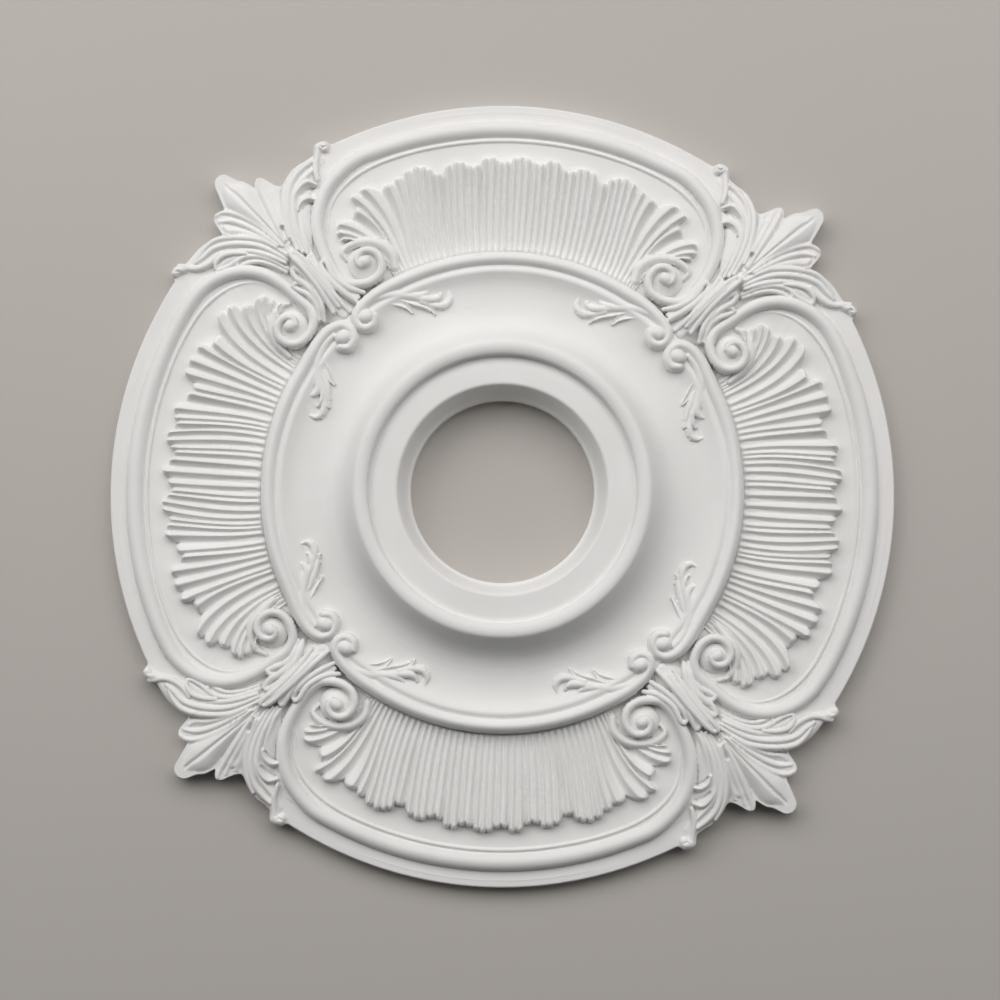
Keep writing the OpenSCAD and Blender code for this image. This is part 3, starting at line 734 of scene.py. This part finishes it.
# %% Close the quarter
ROUND_OVER = 1.2                                  # radius of the cast edge, in millimetres
BACK_BEVEL = 0.6                                  # bevel between the edge and the back
to_edge = (ring_r[:, -1:] - ring_r)
fall = np.clip(1 - to_edge / ROUND_OVER, 0, 1)
Z = Z - ROUND_OVER * (1 - np.sqrt(1 - fall**2)) * (ring_r > NECK_R)
walls = [(ring_r[:, -1], np.full(RAYS, BACK_BEVEL)), (ring_r[:, -1] - BACK_BEVEL, np.zeros(RAYS)),
         (np.full(RAYS, HOLE_R), np.zeros(RAYS))]
for wall_r, wall_z in walls:
    X = np.concatenate([X, (wall_r * np.cos(rays))[:, None]], 1)
    Y = np.concatenate([Y, (wall_r * np.sin(rays))[:, None]], 1)
    Z = np.concatenate([Z, wall_z[:, None]], 1)


def grid_faces(rows, cols):
    """Quads of a grid whose columns close on themselves: the last ring joins the first, which is
    the hole's lip."""
    i, j = np.meshgrid(np.arange(rows - 1), np.arange(cols), indexing="ij")
    k = (j + 1) % cols
    return np.stack([i * cols + j, i * cols + k, (i + 1) * cols + k, (i + 1) * cols + j], -1).reshape(-1, 4)


def make_object(name, points, faces):
    """A mesh object from arrays of points and faces."""
    mesh = bpy.data.meshes.new(name)
    mesh.from_pydata(points.tolist(), [], faces.tolist())
    mesh.validate()
    obj = bpy.data.objects.new(name, mesh)
    bpy.context.scene.collection.objects.link(obj)
    return obj


points = np.stack([X * UNIT, Y * UNIT, Z * MM], -1).reshape(-1, 3)
quarter = make_object("quarter", points, grid_faces(*X.shape))
BUDGET = 195000                                   # triangles of the whole rose
QUARTERS, SPLIT = 4, 2                            # parts of the rose, and triangles in a quad
thin = quarter.modifiers.new("thin", "DECIMATE")
thin.ratio = min(1.0, BUDGET / QUARTERS / (SPLIT * len(quarter.data.polygons)))
depsgraph = bpy.context.evaluated_depsgraph_get()
thinned = quarter.evaluated_get(depsgraph).to_mesh()
thinned.calc_loop_triangles()
V = np.empty(len(thinned.vertices) * 3)
T = np.empty(len(thinned.loop_triangles) * 3, int)
thinned.vertices.foreach_get("co", V)
thinned.loop_triangles.foreach_get("vertices", T)
V, T = V.reshape(-1, 3), T.reshape(-1, 3)
bpy.data.objects.remove(quarter)
print("quarter thinned to", len(T), "triangles")

# %% Normals of the carving itself
SEAM = 0.06 * MM                                  # points this near a seam are put on it
SAMPLE = 0.15                                     # distance of the samples that a slope is taken from


def field_normals(x, y):
    """Normals of the height field in the first quadrant: (-dz/dx, -dz/dy, 1), made of length 1."""
    e = SAMPLE
    z = [carve(np.abs(x + dx), np.abs(y + dy))[0] * MM for dx, dy in ((e, 0), (-e, 0), (0, e), (0, -e))]
    n = np.stack([(z[1] - z[0]) / (2 * e * UNIT), (z[3] - z[2]) / (2 * e * UNIT), np.ones(len(x))], 1)
    return n / np.linalg.norm(n, axis=1)[:, None]


V[np.abs(V) < SEAM] = 0
N = field_normals(V[:, 0] / UNIT, V[:, 1] / UNIT)
N[V[:, 0] == 0, 0] = 0
N[V[:, 1] == 0, 1] = 0
print("points on a seam:", int(((V[:, 0] == 0) | (V[:, 1] == 0)).sum()))

# %% Mirror the quarter to a whole rose and weld the seams
WELD = 1e7                                        # points that agree when rounded to 1 / WELD metres are one
signs = np.array([(1, 1, 1), (-1, 1, 1), (-1, -1, 1), (1, -1, 1)])
all_points = np.concatenate([V * s for s in signs])
all_normals = np.concatenate([N * s for s in signs])
all_faces = np.concatenate([(T if s[0] == s[1] else T[:, ::-1]) + k * len(V)
                            for k, s in enumerate(signs)])
rounded = np.round(all_points * WELD).astype(np.int64)
_, kept, same = np.unique(rounded, axis=0, return_index=True, return_inverse=True)
faces = same.ravel()[all_faces]
sides = np.sort(np.concatenate([faces[:, [0, 1]], faces[:, [1, 2]], faces[:, [2, 0]]]), axis=1)
shared = np.unique(sides, axis=0, return_counts=True)[1]
rose = make_object("rose_casting", all_points[kept], faces)
print("rose:", len(faces), "triangles, edges not shared by two of them:", int((shared != 2).sum()))

# %% [markdown]
# ## Shading by the carving's own normals
# Thinning leaves long thin triangles, and blending their own normals shows as streaks. Keeping
# every triangle of the grid would avoid that, but the mesh would be several times as large. So
# each corner of a triangle takes the carving's normal, unless the triangle faces another way,
# as at a sharp crease or a wall. There a long triangle is shaded flat and a small one smooth.

# %% Shade the rose
SHARP = np.radians(50)                            # edges that turn by more stay crisp
LONG = 2 * MM                                     # a triangle with a longer side counts as long
AGREE_LONG, AGREE_SMALL = 0.985, 0.64             # least cosine between the two normals
mesh = rose.data
mesh.shade_smooth()
mesh.set_sharp_from_angle(angle=SHARP)
corner_of = np.empty(len(mesh.loops), int)
mesh.loops.foreach_get("vertex_index", corner_of)
face_normal = np.empty(len(mesh.polygons) * 3)
mesh.polygons.foreach_get("normal", face_normal)
face_normal = np.repeat(face_normal.reshape(-1, 3), 3, axis=0)
corner_normal = all_normals[kept][corner_of]
corner_normal /= np.linalg.norm(corner_normal, axis=1)[:, None]
ends = all_points[kept][corner_of].reshape(-1, 3, 3)
longest = np.linalg.norm(ends - np.roll(ends, 1, axis=1), axis=2).max(1)
is_long = np.repeat(longest > LONG, 3)
agree = (corner_normal * face_normal).sum(1) > np.where(is_long, AGREE_LONG, AGREE_SMALL)
corner_normal[~agree] = 0
corner_normal[~agree & is_long] = face_normal[~agree & is_long]
mesh.normals_split_custom_set(corner_normal.tolist())
print("corners shaded by the carving's own normals:", round(agree.mean(), 3))

# %% [markdown]
# ## The finish
# The casting is primed matt white. Its tone is not one flat colour: it wanders a little from
# place to place, and a very fine grain breaks up the light as dried primer does. A painted
# picture wrapped round the rose could do this too, but noise in the rose's own coordinates
# needs no wrapping and has no seams.

# %% White primer
white = bpy.data.materials.new("primed_casting")
white.use_nodes = True
nodes, links = white.node_tree.nodes, white.node_tree.links
shader = nodes["Principled BSDF"]
shader.inputs["Roughness"].default_value = 0.62
shader.inputs["Specular IOR Level"].default_value = 0.35
where = nodes.new("ShaderNodeTexCoord")
mottle = nodes.new("ShaderNodeTexNoise")
mottle.inputs["Scale"].default_value = 28
mottle.inputs["Detail"].default_value = 5
tone = nodes.new("ShaderNodeValToRGB")
tone.color_ramp.elements[0].position = 0.3
tone.color_ramp.elements[0].color = (0.800, 0.795, 0.782, 1)
tone.color_ramp.elements[1].position = 0.7
tone.color_ramp.elements[1].color = (0.840, 0.836, 0.826, 1)
links.new(where.outputs["Object"], mottle.inputs["Vector"])
links.new(mottle.outputs["Fac"], tone.inputs["Fac"])
links.new(tone.outputs["Color"], shader.inputs["Base Color"])
grain = nodes.new("ShaderNodeTexNoise")
grain.inputs["Scale"].default_value = 900
grain.inputs["Detail"].default_value = 3
bump = nodes.new("ShaderNodeBump")
bump.inputs["Strength"].default_value = 0.12
bump.inputs["Distance"].default_value = 0.0003
links.new(where.outputs["Object"], grain.inputs["Vector"])
links.new(grain.outputs["Fac"], bump.inputs["Height"])
links.new(bump.outputs["Normal"], shader.inputs["Normal"])
rose.data.materials.append(white)
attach(rose, "root")
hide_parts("rose")
print("finish:", white.name, "on", rose.name)

# %% [markdown]
# ## Floor, light and camera
# The rose lies on a plain pale floor. The camera hangs almost straight above it. A broad soft
# lamp stands out past the +Y side, low enough to rake the carving. A weaker lamp on either side
# lightens the shadows, the one on the left a little more, and the surroundings add very little.

# %% Floor
FLOOR = 3                                         # from its middle to its sides, in metres
floor_mesh = bpy.data.meshes.new("floor")
corners = [(-FLOOR, -FLOOR, 0), (FLOOR, -FLOOR, 0), (FLOOR, FLOOR, 0), (-FLOOR, FLOOR, 0)]
floor_mesh.from_pydata(corners, [], [(0, 1, 2, 3)])
floor = bpy.data.objects.new("floor", floor_mesh)
bpy.context.scene.collection.objects.link(floor)
paper = bpy.data.materials.new("pale_floor")
paper.use_nodes = True
paint = paper.node_tree.nodes["Principled BSDF"]
paint.inputs["Base Color"].default_value = (0.50, 0.47, 0.44, 1)
paint.inputs["Roughness"].default_value = 0.8
floor_mesh.materials.append(paper)
print("floor:", 2 * FLOOR, "m square")

# %% Lights
def aim(obj, place, target, roll=0.0):
    """Put obj at place, facing target with +Y upwards, turned by roll degrees about its view."""
    back = (Vector(place) - Vector(target)).normalized()
    right = Vector((0, 1, 0)).cross(back).normalized()
    axes = Matrix((right, back.cross(right), back)).transposed().to_4x4()
    obj.location = place
    obj.rotation_euler = (axes @ Matrix.Rotation(np.radians(roll), 4, "Z")).to_euler()


def soft_lamp(name, place, width, height, power, tint):
    """A rectangular area lamp aimed at the rose, its width level."""
    lamp = bpy.data.lights.new(name, "AREA")
    lamp.shape, lamp.size, lamp.size_y = "RECTANGLE", width, height
    lamp.energy, lamp.color = power, tint
    obj = bpy.data.objects.new(name, lamp)
    bpy.context.scene.collection.objects.link(obj)
    aim(obj, place, (0, 0, 0))


WINDOW_TINT, FILL_TINT = (1.0, 0.99, 0.975), (1.0, 0.995, 0.985)
soft_lamp("window", place=(-0.145, 1.03, 1.40), width=2.6, height=1.4, power=28.5, tint=WINDOW_TINT)
soft_lamp("fill_left", place=(-1.35, 0.5, 1.0), width=1.2, height=1.2, power=7.9, tint=FILL_TINT)
soft_lamp("fill_right", place=(1.35, 0.5, 1.0), width=1.2, height=1.2, power=5.6, tint=FILL_TINT)
world = bpy.data.worlds.new("surroundings")
bpy.context.scene.world = world
world.use_nodes = True
sky = world.node_tree.nodes["Background"]
sky.inputs["Color"].default_value = (0.93, 0.965, 1.0, 1)
sky.inputs["Strength"].default_value = 0.04
print("lamps:", ", ".join(lamp.name for lamp in bpy.data.lights))

# %% Camera
CAMERA_AT = (0.0028, -0.0747, 1.0)                # in metres
LOOK_AT = (-0.001, -0.0041, 0.0)
CAMERA_ROLL = 3.32                                # in degrees
SENSOR, FOCAL = 36, 1.9235                        # sensor width in millimetres, focal length in sensor widths
camera = bpy.data.objects.new("camera", bpy.data.cameras.new("camera"))
bpy.context.scene.collection.objects.link(camera)
bpy.context.scene.camera = camera
aim(camera, CAMERA_AT, LOOK_AT, CAMERA_ROLL)
camera.data.sensor_width = SENSOR
camera.data.lens = SENSOR * FOCAL
camera.data.clip_start = 0.05
bpy.context.scene.view_settings.view_transform = "Standard"
print("camera:", round(camera.data.lens, 2), "mm lens,", CAMERA_AT[2], "m above the floor")
